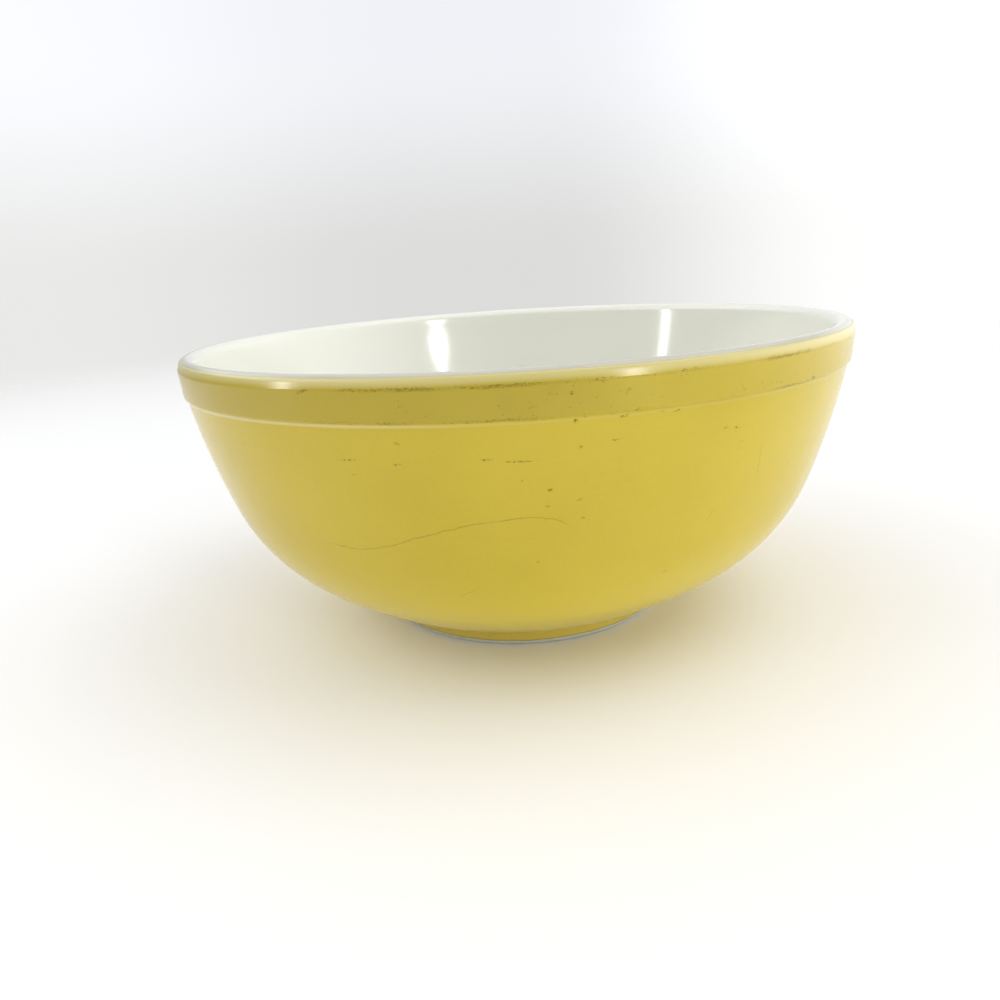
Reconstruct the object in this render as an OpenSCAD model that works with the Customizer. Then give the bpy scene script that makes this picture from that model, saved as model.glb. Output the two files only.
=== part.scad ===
// Round mixing bowl: a thick pressed opal-glass body with a rounded rim, a raised band
// under the rim and a foot ring, and a thin coat of coloured enamel fused to its outside.
// Millimetres, +Z up. The axis of the bowl is Z and the foot stands on Z = 0.
//
// Every outline is a chain of arcs joined by straight lines. A slope or angle below is
// that of the surface's outward normal, in degrees below the horizontal.

/* [Overall size] */
// Outside diameter over the raised band
band_d = 266.7; // [262:0.1:272]
// Height from the table to the top of the rim
height = 117; // [115.5:0.1:118.5]

/* [Rim] */
// Radius of the outer rounding of the rim
rim_out_r = 2.5; // [2:0.1:2.8]
// Radius of the inner rounding of the rim
rim_in_r = 3.4; // [2.8:0.1:3.8]
// Width of the flat on top of the rim, between its two roundings
rim_land = 0.3; // [0.1:0.1:0.8]
// How far the band's upper edge lies below the top of the rim
shoulder_drop = 4; // [3.6:0.1:4.6]
// How far the sloping shoulder above the band leans in, in degrees
shoulder_lean = 15; // [8:1:18]

/* [Band] */
// Height of the band's face between its two edges
band_h = 9.25; // [7:0.25:10]
// Inward draft of the band's face towards the foot, in degrees
band_draft = 4; // [2:0.5:5]
// Radius of the band's upper and lower edges, on the glass
edge_r = 0.35; // [0.2:0.05:0.5]
// How far the wall is set in from the band's lower edge
step_in = 1.1; // [0.9:0.05:1.5]
// Radius of the fillet in the corner under the band
step_fillet = 0.8; // [0.6:0.1:0.9]

/* [Wall] */
// Slope of the wall just under the band
top_slope = 9.9; // [9.6:0.1:10.2]
// Radius of the nearly straight upper wall
upper_r = 273; // [266:1:282]
// Slope where the upper wall turns into the knuckle
knuckle_top = 19.4; // [18.5:0.1:20]
// Radius of the tight turn low on the wall
knuckle_r = 68.6; // [67:0.1:70]
// Slope where the knuckle turns into the lower wall
knuckle_end = 53.6; // [52:0.1:55]
// Radius of the flatter lower wall
lower_r = 197; // [180:1:215]
// Thickness of the wall at the knuckle
wall_t = 5.2; // [4.6:0.1:5.6]
// Height of the inside floor above the table
floor_z = 8; // [7:0.1:9]

/* [Foot] */
// Outside diameter of the foot ring where it meets the table
foot_d = 120.4; // [118:0.1:123]
// Inward draft of the foot ring's outside, in degrees
foot_draft = 16.5; // [12:0.5:20]
// Radius of the fillet between the wall and the foot ring
foot_fillet = 1.6; // [1:0.1:2.5]
// Radius of the foot ring's outer edge
foot_edge_r = 1.6; // [1:0.1:1.8]
// Width of the flat ring that the bowl stands on
foot_land = 2.6; // [2:0.1:4]
// Radius of the foot ring's inner edge
foot_in_r = 1.2; // [0.8:0.1:1.5]
// Depth of the recess inside the foot ring
recess = 2.2; // [1.6:0.1:2.6]
// Radius of the fillet between the foot ring and the recess
recess_fillet = 2; // [1.5:0.1:2.5]

/* [Enamel] */
// Thickness of the enamel coat
enamel_t = 0.25; // [0.2:0.05:0.35]
// How high on the rim's rounding the coat starts, in degrees above the horizontal
enamel_top = 38; // [25:1:45]
// Height of the bare glass between the table and the coat's lower edge
enamel_gap = 1.9; // [1.8:0.1:3]

/* [Hidden] */

sagitta = 0.006;     // how far a chord may lie from its arc
turn = 18;           // largest turn between two points of an arc
recess_lean = 150;   // slope of the foot ring's inner flank, which faces the axis

glass_colour = [0.90, 0.92, 0.87];
enamel_colour = [0.80, 0.68, 0.22];

$fn = 180;

// The outward normal at an angle above the horizontal.
function n(a) = [cos(a), sin(a)];

// A point on an arc, pushed out by t. A fillet has its centre outside and a negative radius.
function at(c, r, a, t = 0) = c + (r + t) * n(a);

// The points of an arc from one normal angle to another, pushed out by t.
function arc(c, r, a0, a1, t = 0) =
    let (steps = ceil(abs(a1 - a0) / min(turn, 2 * acos(1 - sagitta / abs(r)))))
    [for (i = [0:steps]) at(c, r, a0 + (a1 - a0) * i / steps, t)];

// A chain of points without the doubles that two meeting arcs leave.
function chain(list) = [for (i = [0:len(list) - 1])
    if (i == 0 || norm(list[i] - list[i - 1]) > 0.001) list[i]];

function reversed(list) = [for (i = [len(list) - 1:-1:0]) list[i]];

// Band: the centres of its two rounded edges.
glass_r = band_d / 2 - enamel_t;
edge_c = [glass_r - edge_r, height - shoulder_drop];
low_edge_c = edge_c - [band_h * tan(band_draft), band_h];

// Rim: its outer rounding is tangent to the shoulder, which is tangent to the band's edge.
rim_out_z = height - rim_out_r;
rim_out_c = [(edge_c * n(shoulder_lean) + edge_r - rim_out_r - rim_out_z * sin(shoulder_lean))
             / cos(shoulder_lean), rim_out_z];

// Step under the band: a fillet that is tangent to the band's lower edge and to the wall.
wall_top = [low_edge_c.x + edge_r - step_in, low_edge_c.y - step_in - edge_r / 2];
step_c = wall_top + step_fillet * n(-top_slope);
step_v = step_c - low_edge_c;
step_a = atan2(step_v.y, step_v.x) + acos((step_fillet + edge_r) / norm(step_v));

// Wall: three arcs, each tangent to the next, from the band down to the foot.
upper_c = at(wall_top, -upper_r, -top_slope);
knuckle_c = at(upper_c, upper_r - knuckle_r, -knuckle_top);
lower_c = at(knuckle_c, knuckle_r - lower_r, -knuckle_end);

// Foot: its drafted outside, and the fillet that is tangent to it and to the lower wall.
foot_n = n(-foot_draft);
foot_line = foot_n * [foot_d / 2, 0];
foot_a = foot_draft + acos((foot_line + foot_fillet - foot_n * lower_c) / (lower_r + foot_fillet));
foot_c = at(lower_c, lower_r + foot_fillet, -foot_a);
foot_edge_c = [(foot_line - foot_edge_r + foot_edge_r * sin(foot_draft)) / cos(foot_draft), foot_edge_r];
foot_in_c = [foot_edge_c.x - foot_land, foot_in_r];
recess_c = [foot_in_c.x + (recess_fillet + foot_in_r + sin(recess_lean) * (recess - recess_fillet - foot_in_r))
            / cos(recess_lean), recess - recess_fillet];

// Inside: a parallel knuckle, a wall that thickens towards the rim and a dished floor.
inner_knuckle_r = knuckle_r - wall_t;
inner_top = at(knuckle_c, inner_knuckle_r, -knuckle_top);
rim_in_c = [rim_out_c.x - rim_land, height - rim_in_r];
inner_v = rim_in_c - inner_top;
inner_r = (inner_v * inner_v - rim_in_r * rim_in_r) / (rim_in_r - inner_v * n(-knuckle_top)) / 2;
inner_c = at(inner_top, -inner_r, -knuckle_top);
rim_in_a = asin((inner_c.y - rim_in_c.y) / (inner_r + rim_in_r));
dish_top = at(knuckle_c, inner_knuckle_r, -knuckle_end);
dish_r = (dish_top.y - floor_z) / (1 - sin(knuckle_end));
dish_c = at(dish_top, -dish_r, -knuckle_end);

// The outside of the glass from a place on the rim's rounding down to the foot's flank,
// pushed out by t.
function outside(rim_a, t) = concat(
    arc(rim_out_c, rim_out_r, rim_a, shoulder_lean, t),
    arc(edge_c, edge_r, shoulder_lean, -band_draft, t),
    arc(low_edge_c, edge_r, -band_draft, step_a, t),
    arc(step_c, -step_fillet, step_a, -top_slope, t),
    arc(upper_c, upper_r, -top_slope, -knuckle_top, t),
    arc(knuckle_c, knuckle_r, -knuckle_top, -knuckle_end, t),
    arc(lower_c, lower_r, -knuckle_end, -foot_a, t),
    arc(foot_c, -foot_fillet, -foot_a, -foot_draft, t)
);

// The place on the foot's flank where the enamel ends, pushed out by t.
function enamel_end(t) =
    [(foot_line + enamel_gap * sin(foot_draft)) / cos(foot_draft), enamel_gap] + t * foot_n;

function underside() = concat(
    arc(foot_edge_c, foot_edge_r, -foot_draft, -90),
    arc(foot_in_c, foot_in_r, -90, -recess_lean),
    arc(recess_c, -recess_fillet, -recess_lean, -90),
    [[0, recess]]
);

function inside() = concat(
    [[0, floor_z]],
    arc(dish_c, dish_r, -90, -knuckle_end),
    arc(knuckle_c, inner_knuckle_r, -knuckle_end, -knuckle_top),
    arc(inner_c, inner_r, -knuckle_top, -rim_in_a),
    arc(rim_in_c, rim_in_r, 180 - rim_in_a, 90)
);

// The pressed glass: rim, band, wall, foot ring and recessed base in one piece.
module glass_bowl() {
    color(glass_colour)
        rotate_extrude()
            polygon(chain(concat(outside(90, 0), [enamel_end(0)], underside(), inside())));
}

// The coloured coat, fused to the outside from the rim's rounding to just above the table.
module enamel_coat() {
    skin = concat(outside(enamel_top, enamel_t), [enamel_end(enamel_t)]);
    back = concat(outside(enamel_top, 0), [enamel_end(0)]);
    color(enamel_colour)
        rotate_extrude()
            polygon(chain(concat(skin, reversed(back))));
}

glass_bowl();
enamel_coat();
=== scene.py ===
import math

import bpy
from mathutils import Matrix, Vector, noise


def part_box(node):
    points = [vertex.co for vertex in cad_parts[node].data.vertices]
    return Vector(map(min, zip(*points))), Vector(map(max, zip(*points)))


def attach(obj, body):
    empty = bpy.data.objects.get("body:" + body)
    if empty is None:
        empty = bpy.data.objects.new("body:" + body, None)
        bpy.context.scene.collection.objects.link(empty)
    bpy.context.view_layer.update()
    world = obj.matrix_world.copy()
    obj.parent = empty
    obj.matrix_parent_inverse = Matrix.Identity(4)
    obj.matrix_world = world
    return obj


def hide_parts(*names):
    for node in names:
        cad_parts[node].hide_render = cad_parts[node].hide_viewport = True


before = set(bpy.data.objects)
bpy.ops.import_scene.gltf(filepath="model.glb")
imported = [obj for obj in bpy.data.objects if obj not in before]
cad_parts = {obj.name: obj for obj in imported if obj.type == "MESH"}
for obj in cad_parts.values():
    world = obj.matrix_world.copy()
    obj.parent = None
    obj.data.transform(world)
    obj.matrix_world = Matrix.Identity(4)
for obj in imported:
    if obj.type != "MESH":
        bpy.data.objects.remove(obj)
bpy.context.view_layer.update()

# A mixing bowl: a pressed body of white opal glass and a coat of yellow enamel fused to its
# outside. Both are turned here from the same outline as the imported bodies, more finely, with
# the small unevenness of pressed glass and of fired enamel. Lengths are millimetres until a
# mesh is written, except in the floor, lights and backdrop, which are in metres. A slope is
# that of the surface's outward normal, in degrees below the horizontal.

MM = 0.001
COAT_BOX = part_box("enamel_coat")
GLASS_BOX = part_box("glass_bowl")
BAND_R = COAT_BOX[1][0] / MM
HEIGHT = GLASS_BOX[1][2] / MM

# The outline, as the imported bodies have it
COAT_T = 0.25
RIM_OUT_R = 2.5
RIM_IN_R = 3.4
RIM_LAND = 0.3
SHOULDER_DROP = 4.0
SHOULDER_LEAN = 15.0
BAND_H = 9.25
BAND_DRAFT = 4.0
EDGE_R = 0.35
STEP_IN = 1.1
STEP_FILLET = 0.8
TOP_SLOPE = 9.9
UPPER_R = 273.0
KNUCKLE_TOP = 19.4
KNUCKLE_R = 68.6
KNUCKLE_END = 53.6
LOWER_R = 197.0
WALL_T = 5.2
FLOOR_Z = 8.0
FOOT_R = 60.2
FOOT_DRAFT = 16.5
FOOT_FILLET = 1.6
FOOT_EDGE_R = 1.6
FOOT_LAND = 2.6
FOOT_IN_R = 1.2
RECESS = 2.2
RECESS_FILLET = 2.0
RECESS_LEAN = 150.0
COAT_TOP = 38.0
COAT_GAP = 1.9

SEGMENTS = 480


# ---------------------------------------------------------------- the outline

def n(deg):
    return Vector((math.cos(math.radians(deg)), math.sin(math.radians(deg))))


def at(centre, r, deg, push=0.0):
    return centre + (r + push) * n(deg)


def arc(centre, r, a0, a1, push=0.0, turn=12.0, longest=2.5):
    """Rows along an arc, each a point and its outward normal. A fillet has a negative radius."""
    sweep = abs(a1 - a0)
    steps = max(2, math.ceil(sweep / turn), math.ceil(math.radians(sweep) * abs(r) / longest))
    angles = [a0 + (a1 - a0) * i / steps for i in range(steps + 1)]
    return [(at(centre, r, a, push), n(a)) for a in angles]


def line(start, end, steps):
    """Rows strictly between two others."""
    return [(start[0].lerp(end[0], i / steps), start[1].lerp(end[1], i / steps).normalized())
            for i in range(1, steps)]


def joined(*runs):
    """One chain of rows, without the doubles that two meeting arcs leave."""
    rows = []
    for run in runs:
        for row in run:
            if not rows or (row[0] - rows[-1][0]).length > 0.002:
                rows.append(row)
    return rows


def deg(radians):
    return math.degrees(radians)


GLASS_R = BAND_R - COAT_T
EDGE_C = Vector((GLASS_R - EDGE_R, HEIGHT - SHOULDER_DROP))
LOW_EDGE_C = EDGE_C - Vector((BAND_H * math.tan(math.radians(BAND_DRAFT)), BAND_H))
RIM_OUT_Z = HEIGHT - RIM_OUT_R
LEAN = math.radians(SHOULDER_LEAN)
RIM_OUT_C = Vector(((EDGE_C.dot(n(SHOULDER_LEAN)) + EDGE_R - RIM_OUT_R - RIM_OUT_Z * math.sin(LEAN))
                    / math.cos(LEAN), RIM_OUT_Z))
WALL_TOP = Vector((LOW_EDGE_C.x + EDGE_R - STEP_IN, LOW_EDGE_C.y - STEP_IN - EDGE_R / 2))
STEP_C = WALL_TOP + STEP_FILLET * n(-TOP_SLOPE)
STEP_V = STEP_C - LOW_EDGE_C
STEP_A = deg(math.atan2(STEP_V.y, STEP_V.x) + math.acos((STEP_FILLET + EDGE_R) / STEP_V.length))
UPPER_C = at(WALL_TOP, -UPPER_R, -TOP_SLOPE)
KNUCKLE_C = at(UPPER_C, UPPER_R - KNUCKLE_R, -KNUCKLE_TOP)
LOWER_C = at(KNUCKLE_C, KNUCKLE_R - LOWER_R, -KNUCKLE_END)
DRAFT = math.radians(FOOT_DRAFT)
FOOT_LINE = FOOT_R * math.cos(DRAFT)
FOOT_A = FOOT_DRAFT + deg(math.acos((FOOT_LINE + FOOT_FILLET - n(-FOOT_DRAFT).dot(LOWER_C))
                                    / (LOWER_R + FOOT_FILLET)))
FOOT_C = at(LOWER_C, LOWER_R + FOOT_FILLET, -FOOT_A)
FOOT_EDGE_C = Vector(((FOOT_LINE - FOOT_EDGE_R + FOOT_EDGE_R * math.sin(DRAFT)) / math.cos(DRAFT),
                      FOOT_EDGE_R))
FOOT_IN_C = Vector((FOOT_EDGE_C.x - FOOT_LAND, FOOT_IN_R))
RECESS_A = math.radians(RECESS_LEAN)
RECESS_C = Vector((FOOT_IN_C.x + (RECESS_FILLET + FOOT_IN_R
                                  + math.sin(RECESS_A) * (RECESS - RECESS_FILLET - FOOT_IN_R))
                   / math.cos(RECESS_A), RECESS - RECESS_FILLET))
INNER_KNUCKLE_R = KNUCKLE_R - WALL_T
INNER_TOP = at(KNUCKLE_C, INNER_KNUCKLE_R, -KNUCKLE_TOP)
RIM_IN_C = Vector((RIM_OUT_C.x - RIM_LAND, HEIGHT - RIM_IN_R))
INNER_V = RIM_IN_C - INNER_TOP
INNER_R = (INNER_V.length_squared - RIM_IN_R ** 2) / (RIM_IN_R - INNER_V.dot(n(-KNUCKLE_TOP))) / 2
INNER_C = at(INNER_TOP, -INNER_R, -KNUCKLE_TOP)
RIM_IN_A = deg(math.asin((INNER_C.y - RIM_IN_C.y) / (INNER_R + RIM_IN_R)))
DISH_TOP = at(KNUCKLE_C, INNER_KNUCKLE_R, -KNUCKLE_END)
DISH_R = (DISH_TOP.y - FLOOR_Z) / (1 - math.sin(math.radians(KNUCKLE_END)))
DISH_C = at(DISH_TOP, -DISH_R, -KNUCKLE_END)


def foot_flank(z, push=0.0):
    """The row on the foot ring's outside at a height."""
    point = Vector(((FOOT_LINE + z * math.sin(DRAFT)) / math.cos(DRAFT), z))
    return point + push * n(-FOOT_DRAFT), n(-FOOT_DRAFT)


def outside(rim_a, low_z, push, longest):
    """Rows down the outside, from a place on the rim's rounding to a height on the foot."""
    rim = arc(RIM_OUT_C, RIM_OUT_R, rim_a, SHOULDER_LEAN, push, longest=longest)
    edge = arc(EDGE_C, EDGE_R, SHOULDER_LEAN, -BAND_DRAFT, push, turn=7)
    low_edge = arc(LOW_EDGE_C, EDGE_R, -BAND_DRAFT, STEP_A, push, turn=10)
    step = arc(STEP_C, -STEP_FILLET, STEP_A, -TOP_SLOPE, push)
    wall = joined(arc(UPPER_C, UPPER_R, -TOP_SLOPE, -KNUCKLE_TOP, push, longest=longest),
                  arc(KNUCKLE_C, KNUCKLE_R, -KNUCKLE_TOP, -KNUCKLE_END, push, longest=longest),
                  arc(LOWER_C, LOWER_R, -KNUCKLE_END, -FOOT_A, push, longest=longest))
    fillet = arc(FOOT_C, -FOOT_FILLET, -FOOT_A, -FOOT_DRAFT, push)
    end = foot_flank(low_z, push)
    return joined(rim, line(rim[-1], edge[0], 4), edge, line(edge[-1], low_edge[0], 8), low_edge,
                  line(low_edge[-1], step[0], 3), step, wall, fillet,
                  line(fillet[-1], end, 4), [end])


def underside():
    edge = arc(FOOT_EDGE_C, FOOT_EDGE_R, -FOOT_DRAFT, -90)
    land = arc(FOOT_IN_C, FOOT_IN_R, -90, -RECESS_LEAN)
    fillet = arc(RECESS_C, -RECESS_FILLET, -RECESS_LEAN, -90)
    middle = (Vector((0, RECESS)), n(-90))
    return joined(edge, line(edge[-1], land[0], 3), land, fillet,
                  line(fillet[-1], middle, 16), [middle])


def inside():
    middle = (Vector((0, FLOOR_Z)), n(-90))
    dish = arc(DISH_C, DISH_R, -90, -KNUCKLE_END)
    rows = joined([middle], line(middle, dish[0], 12), dish,
                  arc(KNUCKLE_C, INNER_KNUCKLE_R, -KNUCKLE_END, -KNUCKLE_TOP),
                  arc(INNER_C, INNER_R, -KNUCKLE_TOP, -RIM_IN_A))
    facing_in = [(point, -normal) for point, normal in rows]
    return joined(facing_in, arc(RIM_IN_C, RIM_IN_R, 180 - RIM_IN_A, 90, turn=9))


# ---------------------------------------------------------------- turning a mesh

ON_AXIS = 1e-6


def turned(name, rows_at):
    """A body of revolution. rows_at(azimuth) gives the closed outline there, as points in mm.
    A row on the axis becomes one point."""
    columns = [rows_at(2 * math.pi * s / SEGMENTS) for s in range(SEGMENTS)]
    count = len(columns[0])
    verts, index = [], []
    for row in range(count):
        if columns[0][row].x < ON_AXIS:
            index.append([len(verts)] * SEGMENTS)
            verts.append((0, 0, columns[0][row].y * MM))
            continue
        index.append(list(range(len(verts), len(verts) + SEGMENTS)))
        for s, column in enumerate(columns):
            azimuth = 2 * math.pi * s / SEGMENTS
            r, z = column[row] * MM
            verts.append((r * math.cos(azimuth), r * math.sin(azimuth), z))
    faces = []
    for row in range(count):
        above, below = index[row], index[(row + 1) % count]
        if above[0] == above[1] and below[0] == below[1]:
            continue
        for s in range(SEGMENTS):
            t = (s + 1) % SEGMENTS
            corners = [above[s], below[s], below[t], above[t]]
            faces.append([c for i, c in enumerate(corners) if c != corners[i - 1]])
    mesh = bpy.data.meshes.new(name)
    mesh.from_pydata(verts, [], faces)
    mesh.validate()
    mesh.polygons.foreach_set("use_smooth", [True] * len(mesh.polygons))
    piece = bpy.data.objects.new(name, mesh)
    bpy.context.scene.collection.objects.link(piece)
    return piece


def ripple(azimuth, point, size, seed):
    """Smooth noise from -1 to 1 on a surface of revolution, with no seam."""
    x, y = point.x * math.cos(azimuth), point.x * math.sin(azimuth)
    return noise.noise(Vector((x, y, point.y)) / size + Vector((seed, seed * 1.7, seed * 0.3)))


def wander(azimuth, size, seed):
    """Smooth noise from -1 to 1 along the circumference, for an edge that isn't quite even."""
    place = Vector((math.cos(azimuth), math.sin(azimuth), 0)) * BAND_R / size
    return noise.noise(place + Vector((seed, 0, seed * 0.7)))


GLASS_STEP = 4.0          # the longest step between rows, where an outline is nearly straight
COAT_STEP = 2.2
COAT_BACK_STEP = 6.0
RIM_TOP = 90.0
GLASS_WAVE = 0.035        # how far the pressed glass is out of true, either way
GLASS_WAVE_SIZE = 34.0
COAT_WAVE = 0.02
COAT_WAVE_SIZE = 21.0
COAT_TOP_WANDER = 2.5     # degrees round the rim's rounding
COAT_GAP_WANDER = 0.22
COAT_EDGE_SHARE = 0.5     # of the coat's thickness, at its upper and lower edges
GLASS_ROWS = joined(outside(RIM_TOP, COAT_GAP, 0.0, GLASS_STEP), underside(), inside())


def glass_rows(azimuth):
    """The glass's outline: only the inside, away from the floor and the rim, is uneven."""
    rows = []
    for point, normal in GLASS_ROWS:
        free = normal.x < 0 and FLOOR_Z - 1 < point.y < HEIGHT - 1
        push = GLASS_WAVE * ripple(azimuth, point, GLASS_WAVE_SIZE, 3.1) if free else 0.0
        rows.append(point + push * normal)
    return rows


def coat_rows(azimuth):
    """The coat's outer skin down the outside, then its back up again."""
    top = COAT_TOP + COAT_TOP_WANDER * (wander(azimuth, 40, 5.0) + 0.3 * wander(azimuth, 15, 8.0))
    low = COAT_GAP + COAT_GAP_WANDER * (wander(azimuth, 30, 2.0) + 0.5 * wander(azimuth, 9, 4.0))
    skin = outside(top, low, COAT_T, COAT_STEP)
    back = outside(top, low, 0.0, COAT_BACK_STEP)
    rows = []
    last = len(skin) - 1
    for i, (point, normal) in enumerate(skin):
        thinned = (1 - COAT_EDGE_SHARE) * COAT_T if i in (0, last) else 0.0
        wave = COAT_WAVE * (ripple(azimuth, point, COAT_WAVE_SIZE, 7.7) - 1)
        rows.append(point + normal * (wave - thinned))
    return rows + [point for point, normal in reversed(back)]


# ---------------------------------------------------------------- materials

class Nodes:
    """A short way to write a node tree."""

    def __init__(self, tree):
        self.tree = tree

    def add(self, kind, **values):
        node = self.tree.nodes.new("ShaderNode" + kind)
        for key, value in values.items():
            setattr(node, key, value)
        return node

    def feed(self, node, inputs):
        for key, value in inputs.items():
            if hasattr(value, "links"):
                self.tree.links.new(value, node.inputs[key])
            else:
                node.inputs[key].default_value = value
        return node

    def math(self, operation, a, b=0.0, c=0.0):
        node = self.feed(self.add("Math", operation=operation), {0: a, 1: b, 2: c})
        return node.outputs[0]

    def vector(self, operation, a, b=(0, 0, 0)):
        return self.feed(self.add("VectorMath", operation=operation), {0: a, 1: b})

    def scaled(self, vector, x, y, z):
        return self.vector("MULTIPLY", vector, (x, y, z)).outputs[0]

    def joined(self, x, y, z=0.0):
        return self.feed(self.add("CombineXYZ"), {0: x, 1: y, 2: z}).outputs[0]

    def split(self, vector):
        return self.feed(self.add("SeparateXYZ"), {0: vector}).outputs

    def noise(self, vector, scale, detail=2.0, rough=0.5):
        node = self.feed(self.add("TexNoise"),
                         {"Vector": vector, "Scale": scale, "Detail": detail, "Roughness": rough})
        return node.outputs["Fac"]

    def span(self, value, low, high, to_low=0.0, to_high=1.0):
        """value mapped smoothly from low..high to to_low..to_high, and held there beyond."""
        node = self.feed(self.add("MapRange", interpolation_type="SMOOTHSTEP"),
                         {"Value": value, "From Min": low, "From Max": high,
                          "To Min": to_low, "To Max": to_high})
        return node.outputs["Result"]

    def curve(self, value, points, low, high):
        """A smooth curve through points, (place, value 0..1) pairs from low to high."""
        node = self.add("FloatCurve")
        spots = node.mapping.curves[0].points
        while len(spots) < len(points):
            spots.new(0.5, 0.5)
        for spot, (x, y) in zip(spots, points):
            spot.location = ((x - low) / (high - low), y)
        node.mapping.update()
        place = self.math("DIVIDE", self.math("SUBTRACT", value, low), high - low)
        self.feed(node, {"Value": place})
        return node.outputs[0]

    def mix(self, factor, a, b):
        node = self.feed(self.add("Mix", data_type="RGBA"), {"Factor": factor})
        for socket, value in ((node.inputs[6], a), (node.inputs[7], b)):
            if hasattr(value, "links"):
                self.tree.links.new(value, socket)
            else:
                socket.default_value = (*value, 1.0)
        return node.outputs[2]

    def bump(self, height, strength, distance):
        node = self.feed(self.add("Bump"),
                         {"Height": height, "Strength": strength, "Distance": distance})
        return node.outputs["Normal"]

    def most(self, *values):
        result = values[0]
        for value in values[1:]:
            result = self.math("MAXIMUM", result, value)
        return result

    def times(self, *values):
        result = values[0]
        for value in values[1:]:
            result = self.math("MULTIPLY", result, value)
        return result


def new_material(name):
    material = bpy.data.materials.new(name)
    material.use_nodes = True
    return material, Nodes(material.node_tree), material.node_tree.nodes["Principled BSDF"]


# The glass's colour: two close shades, a darker rim, and painted shade on the bare foot by the
# table
OPAL_DIM = (0.725, 0.725, 0.635)
OPAL_CLEAR = (0.755, 0.755, 0.67)
OPAL_RIM = (0.47, 0.445, 0.345)     # darker and greyer, on the outer half of the rim
# Painted shade: the bare foot is darker and bluer where it meets the table
OPAL_SHADED_FOOT = (0.53, 0.57, 0.48)
OPAL_FOOT_SHARE = 0.8
OPAL_FOOT_FROM, OPAL_FOOT_TO = 1.5, 4.5
OPAL_CLOUD_SCALE = 18.0             # noise cells in a metre, here and below
OPAL_FINE_SCALE = 900.0
OPAL_GLOSS = (0.10, 0.14)           # the least and the greatest roughness
OPAL_GLOW = 0.2                     # how much light passes below the surface
OPAL_GLOW_DEPTH = (0.004, 0.004, 0.0045)
GLASS_IOR = 1.5
MM_PER_METRE = 1000.0


def opal_glass():
    material, m, shader = new_material("opal_glass")
    place = m.add("TexCoord").outputs["Object"]
    cloud = m.noise(place, OPAL_CLOUD_SCALE, 3.0)
    fine = m.noise(m.scaled(place, 1, 1, 3), OPAL_FINE_SCALE, 2.0)
    height = m.math("MULTIPLY", m.split(place)[2], MM_PER_METRE)
    out = m.vector("LENGTH", m.scaled(place, 1, 1, 0)).outputs["Value"]
    out = m.math("MULTIPLY", out, MM_PER_METRE)
    body = m.mix(cloud, OPAL_DIM, OPAL_CLEAR)
    rim = m.times(m.span(height, HEIGHT - 3.6, HEIGHT - 1.5),
                  m.span(out, RIM_OUT_C.x - 0.9, RIM_OUT_C.x + 0.5))
    rim_darker = m.mix(m.times(rim, m.span(cloud, 0.3, 0.7, 0.8, 1.0)), body, OPAL_RIM)
    # Painted shade on the bare foot, fading out a few mm above the table
    foot = m.span(height, OPAL_FOOT_FROM, OPAL_FOOT_TO, OPAL_FOOT_SHARE, 0.0)
    m.feed(shader, {
        "Base Color": m.mix(foot, rim_darker, OPAL_SHADED_FOOT),
        "Roughness": m.span(fine, 0.35, 0.75, *OPAL_GLOSS),
        "IOR": GLASS_IOR,
        "Subsurface Weight": OPAL_GLOW,
        "Subsurface Radius": OPAL_GLOW_DEPTH,
        "Subsurface Scale": 1.0,
    })
    return material


# The enamel's colour: two close shades, what shows where it is worn or stained, and painted light
# and shade on the band, the shoulder, the low wall and the foot
ENAMEL_DEEP = (0.540, 0.408, 0.018)
ENAMEL_LIGHT = (0.592, 0.455, 0.024)
# The band's colour: partly a deeper coat, partly painted shade
ENAMEL_BAND_AND_SHADE = (0.450, 0.341, 0.019)
# Painted light on the low wall, lighter as if lit from the table below
ENAMEL_LOW_LIT = (0.700, 0.550, 0.016)
ENAMEL_THIN = (0.740, 0.620, 0.260)     # over the corner under the band
ENAMEL_PALE_AND_SHEEN = (0.585, 0.505, 0.190)     # on the shoulder above the band: partly thin enamel, partly a painted sheen
ENAMEL_FOOT_SHADE = (0.650, 0.495, 0.075)     # on the foot ring: painted shade where it meets the table
WORN = (0.165, 0.125, 0.014)
MM_PER_DEGREE = 2.25       # along the circumference, at the wall's usual radius
UPPER_EDGE_Z = EDGE_C.y - 0.05
LOWER_EDGE_Z = LOW_EDGE_C.y - 0.25
LOW_WALL_LIGHT_FROM, LOW_WALL_LIGHT_TO = 15.0, 60.0     # where the low wall's painted light fades out, going up

# Noise cells in a metre, from the finest grain to the broadest cloud
CRUMB_SCALE = 1300.0
BAND_SPECK_SCALE = 1100.0
GRAIN_SCALE = 900.0
RELIEF_SCALE = 170.0
CLUSTER_SCALE = 150.0
PIT_SCALE = 140.0
PATCH_SCALE = 55.0
CLOUD_SCALE = 14.0

# How strongly each kind of wear shows, from 0 to 1
UPPER_EDGE_SHOWS = 0.72
LOWER_EDGE_SHOWS = 0.68
BAND_SPECKS_SHOW = 0.6
SMEAR_SHOWS = 0.16
PITS_SHOW = 0.4
DARK_MARKS_SHOW = 0.95
FAINT_MARKS_SHOW = 0.4
SCRATCH_SHOWS = 0.45
RUBS_SHOW = 0.28
EDGE_RUB = 0.26            # an even rub under the edges' broken wear
UPPER_REACH = 0.85         # mm to either side of the edge
LOWER_REACH = 0.65
ENAMEL_GLOSS = (0.18, 0.21)
RELIEF_DEPTH = 0.00005     # metres

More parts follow.
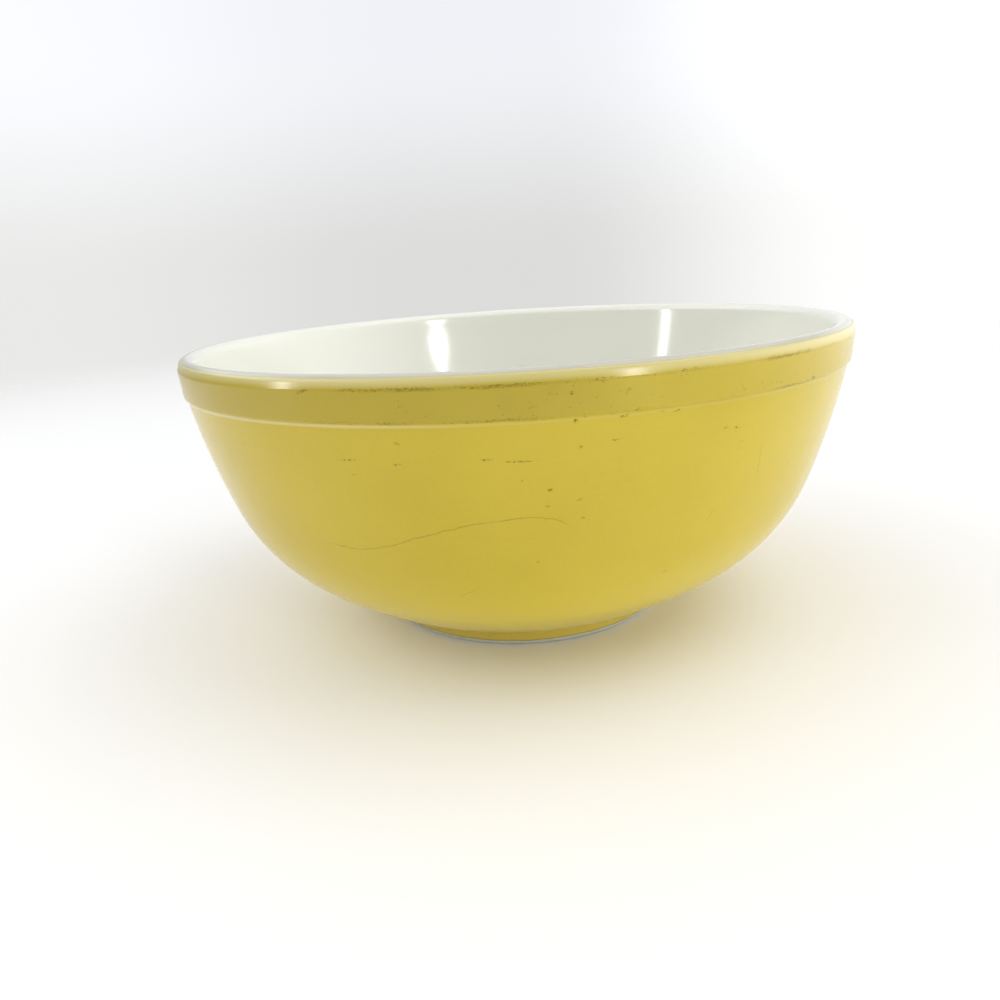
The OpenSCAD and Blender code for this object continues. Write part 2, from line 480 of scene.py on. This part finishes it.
# All round the bowl, as (degrees from the front, 0..1), positive to the right: how worn each
# edge of the band is, and how speckled its face
UPPER_WEAR = [(-180, 0.35), (-150, 0.6), (-125, 0.3), (-95, 0.5), (-62, 0.15), (-45, 0.0),
              (-29, 0.0), (-22, 0.5), (-17, 0.75), (-11, 0.95), (-7, 0.35), (-4, 1.0), (0, 0.95),
              (5, 0.7), (12, 0.55), (20, 0.6), (28, 0.45), (33, 0.8), (39, 0.95), (45, 0.45),
              (60, 0.4), (85, 0.65), (110, 0.3), (140, 0.55), (165, 0.25), (180, 0.35)]
LOWER_WEAR = [(-180, 0.3), (-140, 0.55), (-110, 0.25), (-75, 0.45), (-50, 0.05), (-30, 0.1),
              (-25, 0.65), (-14, 0.7), (-6, 0.7), (-1, 1.0), (3, 0.8), (9, 0.4), (14, 0.6),
              (19, 0.2), (31, 0.2), (36, 0.8), (42, 0.9), (47, 0.3), (70, 0.4), (95, 0.2),
              (125, 0.5), (155, 0.3), (180, 0.3)]
BAND_SPECKS = [(-180, 0.2), (-90, 0.25), (-35, 0.05), (-15, 0.15), (-6, 0.55), (0, 0.9), (6, 0.8),
               (13, 0.5), (22, 0.3), (60, 0.3), (120, 0.2), (180, 0.2)]
# How much darker the band is than the wall, partly a deeper coat and partly painted shade,
# most at the front and left, and how thin the coat is in the corner under the band
BAND_DEPTH_AND_SHADE = [(-180, 0.7), (-90, 0.8), (-45, 1.0), (-5, 1.0), (20, 0.5), (60, 0.4), (120, 0.6),
              (180, 0.7)]
THIN_CORNER = [(-180, 0.3), (-120, 0.55), (-80, 0.4), (-50, 0.75), (-30, 0.7), (-12, 0.45),
               (4, 0.15), (30, 0.1), (70, 0.3), (130, 0.5), (180, 0.3)]

# Single marks: degrees from the front, height, half length and half height in mm, and tilt
DARK_MARKS = [(13, 102.1, 0.9, 0.35, 10), (7, 102, 0.5, 0.5, 0), (8.2, 102.7, 0.4, 0.3, 0),
              (20, 101.8, 1.1, 0.2, 15), (28, 94, 0.9, 0.3, 5), (30, 93.5, 1.0, 0.3, -10),
              (-22.5, 92.1, 2.6, 0.25, 3), (-15.5, 91, 1.0, 0.2, 5), (-4, 92.1, 1.6, 0.25, 2),
              (0.2, 91.1, 3.6, 0.22, -1), (3.8, 81.8, 0.6, 0.5, 30), (3.6, 76.5, 0.9, 0.25, 0),
              (12, 95.3, 1.6, 0.2, 4), (7.7, 94.2, 0.5, 0.4, 0), (6.5, 109.8, 0.5, 0.5, 0),
              (13.3, 109.5, 0.6, 0.4, 20), (-27, 112.5, 1.8, 0.35, 18), (10.2, 112.7, 0.7, 0.7, 0),
              (44.5, 103.9, 1.0, 0.7, 0), (96, 87.5, 2.4, 0.25, 4), (131, 98.5, 1.2, 0.4, 12),
              (-118, 79.5, 1.8, 0.25, -6), (-152, 94.5, 0.8, 0.5, 0), (171, 71.5, 2.8, 0.2, 8)]
FAINT_MARKS = [(-22, 87.5, 1.2, 0.2, 8), (-15, 97.5, 1.0, 0.3, -20), (7.6, 77.8, 0.9, 0.35, 15),
               (8.2, 71.7, 0.7, 0.4, 0), (2, 57.3, 0.7, 0.4, 0), (23, 46.5, 0.8, 0.4, 0),
               (36, 80.5, 6.5, 0.14, 100), (29.5, 105.7, 2.6, 0.14, -50), (18, 102.1, 0.9, 0.2, 0),
               (28.5, 65.5, 3.0, 0.12, 70), (-9, 45.5, 5.0, 0.12, 25), (64, 75.5, 5.5, 0.14, 60),
               (102, 60.5, 6.0, 0.14, -35), (-84, 67.5, 5.0, 0.14, 20), (-135, 53.5, 4.0, 0.14, 75),
               (158, 89.5, 5.0, 0.14, -15)]
# A long thin scratch that wanders across the front: degrees, and height in tenths of a metre
SCRATCH = [(-34, 0.63), (-27, 0.603), (-21.5, 0.615), (-14, 0.665), (-5, 0.713), (4.5, 0.711),
           (7, 0.675)]
SCRATCH_TOP = 100.0        # mm, the height that 1 stands for


def marks(m, sheet, chosen):
    """How far each place is from the nearest mark's middle, where 1 is a mark's edge."""
    nearest = None
    for azimuth, height, half_long, half_tall, tilt in chosen:
        node = m.add("Mapping", vector_type="TEXTURE")
        m.feed(node, {"Vector": sheet, "Location": (azimuth * MM_PER_DEGREE, height, 0),
                      "Rotation": (0, 0, math.radians(tilt)), "Scale": (half_long, half_tall, 1)})
        away = m.vector("LENGTH", node.outputs[0]).outputs["Value"]
        nearest = away if nearest is None else m.math("MINIMUM", nearest, away)
    return nearest


def specks(m, place, scale, size, density):
    """Small scattered spots, of a share of the cells given by density."""
    node = m.feed(m.add("TexVoronoi"), {"Vector": place, "Scale": scale})
    inside_spot = m.span(node.outputs["Distance"], size * 0.6, size, 1.0, 0.0)
    chance = m.split(node.outputs["Color"])[0]
    return m.times(inside_spot, m.math("LESS_THAN", chance, density))


class Enamel:
    """Where a point of the enamel is, and the noises that its wear and its colour share."""

    def __init__(self, m):
        self.place = m.add("TexCoord").outputs["Object"]
        x, y, z = m.split(self.place)
        self.azimuth = m.math("MULTIPLY", m.math("ARCTAN2", x, m.times(y, -1.0)), 180 / math.pi)
        self.height = m.math("MULTIPLY", z, MM_PER_METRE)
        # The surface laid flat, in mm round the bowl and mm up it
        self.sheet = m.joined(m.math("MULTIPLY", self.azimuth, MM_PER_DEGREE), self.height)
        self.grain = m.noise(m.scaled(self.place, 1, 1, 1.6), GRAIN_SCALE, 3.0)
        self.crumbs = m.noise(m.scaled(self.place, 1, 1, 2), CRUMB_SCALE, 2.0, 0.6)
        self.patches = m.noise(self.place, PATCH_SCALE, 2.0)
        clusters = m.noise(m.scaled(self.place, 1, 1, 3), CLUSTER_SCALE, 2.0)
        self.dashes = m.math("ADD", m.times(clusters, 0.36), m.times(self.crumbs, 0.64))
        streaks = m.joined(m.math("MULTIPLY", self.azimuth, 0.03),
                           m.math("MULTIPLY", self.height, 1.1))
        self.streaks = m.noise(streaks, 1.0, 4.0, 0.65)


def edge_wear(m, e, edge_z, shares, reach):
    """Broken wear along an edge of the band."""
    wobble = m.math("MULTIPLY_ADD", e.grain, 1.1, edge_z - 0.55)
    off = m.math("ABSOLUTE", m.math("SUBTRACT", e.height, wobble))
    near = m.span(off, 0.15, reach, 1.0, 0.0)
    share = m.curve(e.azimuth, shares, -180, 180)
    gate = m.math("MULTIPLY_ADD", share, -0.20, 0.65)
    worn = m.span(e.dashes, gate, m.math("ADD", gate, 0.08))
    return m.times(near, m.most(worn, m.times(share, EDGE_RUB)), m.span(share, 0.02, 0.25))


def band_wear(m, e):
    """Specks on the band's face, and a smear where they are thickest."""
    on_band = m.times(m.span(e.height, LOWER_EDGE_Z, LOWER_EDGE_Z + 1.0),
                      m.span(e.height, UPPER_EDGE_Z - 0.5, UPPER_EDGE_Z + 0.5, 1.0, 0.0))
    share = m.curve(e.azimuth, BAND_SPECKS, -180, 180)
    density = m.times(share, m.span(e.patches, 0.4, 0.65), 0.5)
    spots = m.times(specks(m, e.place, BAND_SPECK_SCALE, 0.30, density), on_band)
    smear = m.times(on_band, share, m.span(e.patches, 0.42, 0.7), SMEAR_SHOWS)
    return m.most(m.times(spots, BAND_SPECKS_SHOW), smear)


def single_marks(m, e):
    fuzz = m.math("MULTIPLY", m.math("SUBTRACT", e.grain, 0.5), 1.6)
    dark = m.span(m.math("ADD", marks(m, e.sheet, DARK_MARKS), fuzz), 0.7, 1.5, 1.0, 0.0)
    dark = m.times(dark, m.span(e.crumbs, 0.44, 0.56))
    faint = m.span(m.math("ADD", marks(m, e.sheet, FAINT_MARKS), fuzz), 0.6, 1.2, 1.0, 0.0)
    pits = specks(m, e.place, PIT_SCALE, 0.06, 0.13)
    return m.most(m.times(dark, DARK_MARKS_SHOW), m.times(faint, FAINT_MARKS_SHOW),
                  m.times(pits, PITS_SHOW))


def long_scratch(m, e):
    track = m.curve(e.azimuth, SCRATCH, SCRATCH[0][0], SCRATCH[-1][0])
    track = m.math("MULTIPLY", track, SCRATCH_TOP)
    track = m.math("ADD", track, m.math("MULTIPLY", m.noise(e.sheet, 0.35, 3.0), 1.4))
    off_track = m.math("ABSOLUTE", m.math("SUBTRACT", e.height, track))
    on_track = m.times(m.span(e.azimuth, -33.5, -32.0), m.span(e.azimuth, 5.5, 6.5, 1.0, 0.0))
    return m.times(m.span(off_track, 0.08, 0.24, 1.0, 0.0), on_track,
                   m.span(e.patches, 0.38, 0.52), SCRATCH_SHOWS)


def rubbed_rings(m, e):
    """Fine rubs that run round the bowl, in patches."""
    rings = m.noise(m.joined(m.math("MULTIPLY", e.azimuth, 0.30),
                             m.math("MULTIPLY", e.height, 2.0)), 1.0, 2.0)
    return m.times(m.span(rings, 0.66, 0.76), m.span(e.patches, 0.45, 0.6), RUBS_SHOW)


def enamel_wear(m, e):
    upper = edge_wear(m, e, UPPER_EDGE_Z, UPPER_WEAR, UPPER_REACH)
    lower = edge_wear(m, e, LOWER_EDGE_Z, LOWER_WEAR, LOWER_REACH)
    return m.most(m.times(upper, UPPER_EDGE_SHOWS), m.times(lower, LOWER_EDGE_SHOWS),
                  band_wear(m, e), single_marks(m, e), long_scratch(m, e), rubbed_rings(m, e))


def enamel_colour(m, e):
    """The coat's colour: mottled; deeper on the band, partly a deeper coat and partly painted
    shade;
    paler on the shoulder, partly thin enamel and partly a painted sheen; paler in the corner under
    the band; lighter on the low wall with painted light, and darker on the foot with painted shade."""
    cloud = m.noise(e.place, CLOUD_SCALE, 3.0)
    shade = m.math("ADD", m.times(cloud, 0.7),
                   m.math("ADD", m.times(e.streaks, 0.08), m.times(e.grain, 0.22)))
    base = m.mix(m.span(shade, 0.35, 0.65), ENAMEL_DEEP, ENAMEL_LIGHT)
    # The band is darker: partly a deeper coat, partly painted shade, most at the front and left
    above_step = m.span(e.height, LOWER_EDGE_Z - 0.4, LOWER_EDGE_Z + 0.4)
    deeper = m.times(above_step, m.curve(e.azimuth, BAND_DEPTH_AND_SHADE, -180, 180))
    base = m.mix(deeper, base, ENAMEL_BAND_AND_SHADE)
    # Paler on the shoulder: partly thin enamel, partly a painted sheen
    base = m.mix(m.span(e.height, UPPER_EDGE_Z - 0.3, UPPER_EDGE_Z + 2.3), base, ENAMEL_PALE_AND_SHEEN)
    # Painted light: the low wall is lighter towards the foot
    base = m.mix(m.span(e.height, LOW_WALL_LIGHT_FROM, LOW_WALL_LIGHT_TO, 1.0, 0.0), base, ENAMEL_LOW_LIT)
    # Painted shade on the foot ring, darker and greyer near the table
    base = m.mix(m.span(e.height, FOOT_C.y + 0.4, FOOT_C.y + 2.4, 1.0, 0.0), base, ENAMEL_FOOT_SHADE)
    corner = m.math("ABSOLUTE", m.math("SUBTRACT", e.height, STEP_C.y + 0.1))
    thin = m.times(m.span(corner, 0.25, 0.8, 1.0, 0.0), m.curve(e.azimuth, THIN_CORNER, -180, 180))
    return m.mix(thin, base, ENAMEL_THIN)


def yellow_enamel():
    material, m, shader = new_material("yellow_enamel")
    e = Enamel(m)
    worn = enamel_wear(m, e)
    rough = m.math("ADD", m.span(e.streaks, 0.3, 0.7, *ENAMEL_GLOSS), m.times(worn, 0.1))
    # The wear is left out of the relief: a bump reads its height three times over
    relief = m.noise(m.scaled(e.place, 1, 1, 1.6), RELIEF_SCALE, 2.0)
    m.feed(shader, {
        "Base Color": m.mix(worn, enamel_colour(m, e), WORN),
        "Roughness": rough,
        "IOR": GLASS_IOR,
        "Specular IOR Level": m.math("MULTIPLY_ADD", worn, -0.4, 0.5),
        "Normal": m.bump(relief, 0.4, RELIEF_DEPTH),
    })
    return material


# ---------------------------------------------------------------- the object

def make_bowl():
    glass = turned("bowl_glass", glass_rows)
    glass.data.materials.append(opal_glass())
    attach(glass, "root")
    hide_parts("glass_bowl")
    coat = turned("bowl_enamel", coat_rows)
    coat.data.materials.append(yellow_enamel())
    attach(coat, "root")
    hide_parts("enamel_coat")


# ---------------------------------------------------------------- floor, light and camera

FLOOR_R = 2.4
FLOOR_SIDES = 96
FLOOR_DROP = -0.0001      # just clear of the foot ring's flat
FADE_FROM = 0.45
FADE_TO = 1.5
FLOOR_COLOUR = (0.855, 0.845, 0.815, 1.0)
FLOOR_ROUGHNESS = 0.55


def make_floor():
    """A pale round table top that fades out into the backdrop, so that no edge shows."""
    mesh = bpy.data.meshes.new("floor")
    turns = [2 * math.pi * i / FLOOR_SIDES for i in range(FLOOR_SIDES)]
    rim = [(FLOOR_R * math.cos(a), FLOOR_R * math.sin(a), FLOOR_DROP) for a in turns]
    mesh.from_pydata(rim, [], [list(range(FLOOR_SIDES))])
    floor = bpy.data.objects.new("floor", mesh)
    bpy.context.scene.collection.objects.link(floor)
    material, m, shader = new_material("pale_table")
    place = m.add("TexCoord").outputs["Object"]
    far = m.vector("LENGTH", place).outputs["Value"]
    m.feed(shader, {
        "Base Color": FLOOR_COLOUR,
        "Roughness": FLOOR_ROUGHNESS,
        "Alpha": m.span(far, FADE_FROM, FADE_TO, 1.0, 0.0),
    })
    mesh.materials.append(material)


# The room's light by where it comes from, as (front, right, back, left). The height is that of
# a direction of length 1.
SKY_LOW = (0.0, 2.40, 0.76, 0.08)
SKY_MIDDLE = (0.40, 1.30, 0.75, 3.00)
SKY_OVERHEAD = 0.97
LOW_TO_MIDDLE = (0.2, 0.45)
MIDDLE_TO_OVERHEAD = (0.6, 0.8)

# The backdrop that is looked at: its level at the horizon and higher up, and what is added at
# the left, at the right and below the horizon
SHOWN_HORIZON = 0.72
SHOWN_HIGH = 0.90
SHOWN_LEFT = 0.10
SHOWN_RIGHT = 0.30
SHOWN_BELOW = 0.20
LOW_TINT = (1.0, 1.0, 0.985)
HIGH_TINT = (0.97, 0.985, 1.03)


def make_backdrop():
    """A pale backdrop all round to look at. What lights the bowl is a room that is dim in front
    and brighter overhead and at both sides."""
    world = bpy.data.worlds.new("backdrop")
    bpy.context.scene.world = world
    world.use_nodes = True
    m = Nodes(world.node_tree)
    x, y, z = m.split(m.add("TexCoord").outputs["Generated"])
    flat = m.math("MAXIMUM", m.math("ADD", m.times(x, x), m.times(y, y)), 0.0001)

    def around(levels):
        total = 0.0
        for across, level in zip((m.times(y, -1.0), x, y, m.times(x, -1.0)), levels):
            facing = m.math("MAXIMUM", across, 0.0)
            lobe = m.math("DIVIDE", m.times(facing, facing), flat)
            total = m.math("ADD", total, m.times(lobe, level))
        return total

    overhead = m.span(z, *MIDDLE_TO_OVERHEAD)
    middle = m.math("SUBTRACT", m.span(z, *LOW_TO_MIDDLE), overhead)
    room = m.times(around(SKY_LOW), m.span(z, *LOW_TO_MIDDLE, 1.0, 0.0))
    room = m.math("ADD", room, m.times(around(SKY_MIDDLE), middle))
    room = m.math("ADD", room, m.times(overhead, SKY_OVERHEAD))
    shown = m.span(z, 0.0, 0.22, SHOWN_HORIZON, SHOWN_HIGH)
    for added in (m.span(x, -0.5, -0.1, SHOWN_LEFT, 0.0), m.span(x, 0.05, 0.42, 0.0, SHOWN_RIGHT),
                  m.span(z, -0.30, -0.06, SHOWN_BELOW, 0.0)):
        shown = m.math("ADD", shown, added)
    looked_at = m.add("LightPath").outputs["Is Camera Ray"]
    level = m.math("ADD", m.times(room, m.math("SUBTRACT", 1.0, looked_at)),
                   m.times(shown, looked_at))
    m.feed(world.node_tree.nodes["Background"],
           {"Color": m.mix(m.span(z, 0.0, 0.25), LOW_TINT, HIGH_TINT), "Strength": level})


# Soft panels that look at the bowl: name, azimuth and elevation in degrees, distance, width,
# height and watts. Azimuth 0 is behind the bowl and 90 to its right.
PANELS = [("window_front", 144.5, 13, 1.6, 0.11, 0.46, 3.0),
          ("window_front_sill", 144.5, 11, 1.62, 0.26, 0.17, 1.6),
          ("window_left", -106, 9, 1.6, 0.10, 0.36, 2.4),
          ("softbox_top", 100, 58, 1.4, 1.0, 1.0, 4.0)]


def area_light(name, azimuth, elevation, distance, width, tall, watts):
    data = bpy.data.lights.new(name, "AREA")
    data.shape = "RECTANGLE"
    data.size, data.size_y = width, tall
    data.energy = watts
    light = bpy.data.objects.new(name, data)
    bpy.context.scene.collection.objects.link(light)
    a, e = math.radians(azimuth), math.radians(elevation)
    centre = Vector((0, 0, HEIGHT * MM))
    away = Vector((math.sin(a) * math.cos(e), math.cos(a) * math.cos(e), math.sin(e)))
    light.location = centre + away * distance
    light.rotation_mode = "QUATERNION"
    light.rotation_quaternion = away.to_track_quat("Z", "Y")


# The view: where the camera stands in mm, how it leans in degrees, and its field of view
CAMERA_BACK = 344.6
CAMERA_UP = 144.9
CAMERA_PITCH = 16.69
CAMERA_YAW = -1.56
CAMERA_ROLL = -3.61
LENS_OVER_WIDTH = 0.8
SENSOR_WIDTH = 36.0
CLIP = (0.01, 50.0)


def make_camera():
    data = bpy.data.cameras.new("camera")
    data.sensor_width = SENSOR_WIDTH
    data.lens = LENS_OVER_WIDTH * SENSOR_WIDTH
    data.clip_start, data.clip_end = CLIP
    camera = bpy.data.objects.new("camera", data)
    bpy.context.scene.collection.objects.link(camera)
    pitch, yaw, roll = (math.radians(v) for v in (CAMERA_PITCH, CAMERA_YAW, CAMERA_ROLL))
    ahead = Vector((math.sin(yaw) * math.cos(pitch), math.cos(yaw) * math.cos(pitch),
                    -math.sin(pitch)))
    right = Vector((math.cos(yaw), -math.sin(yaw), 0))
    up = right.cross(ahead)
    across = math.cos(roll) * right + math.sin(roll) * up
    upward = math.cos(roll) * up - math.sin(roll) * right
    turn = Matrix((across, upward, -ahead)).transposed().to_4x4()
    camera.matrix_world = Matrix.Translation(Vector((0, -CAMERA_BACK, CAMERA_UP)) * MM) @ turn
    bpy.context.scene.camera = camera


def main():
    make_bowl()
    make_floor()
    make_backdrop()
    for panel in PANELS:
        area_light(*panel)
    make_camera()
    bpy.context.scene.view_settings.view_transform = "Standard"


main()
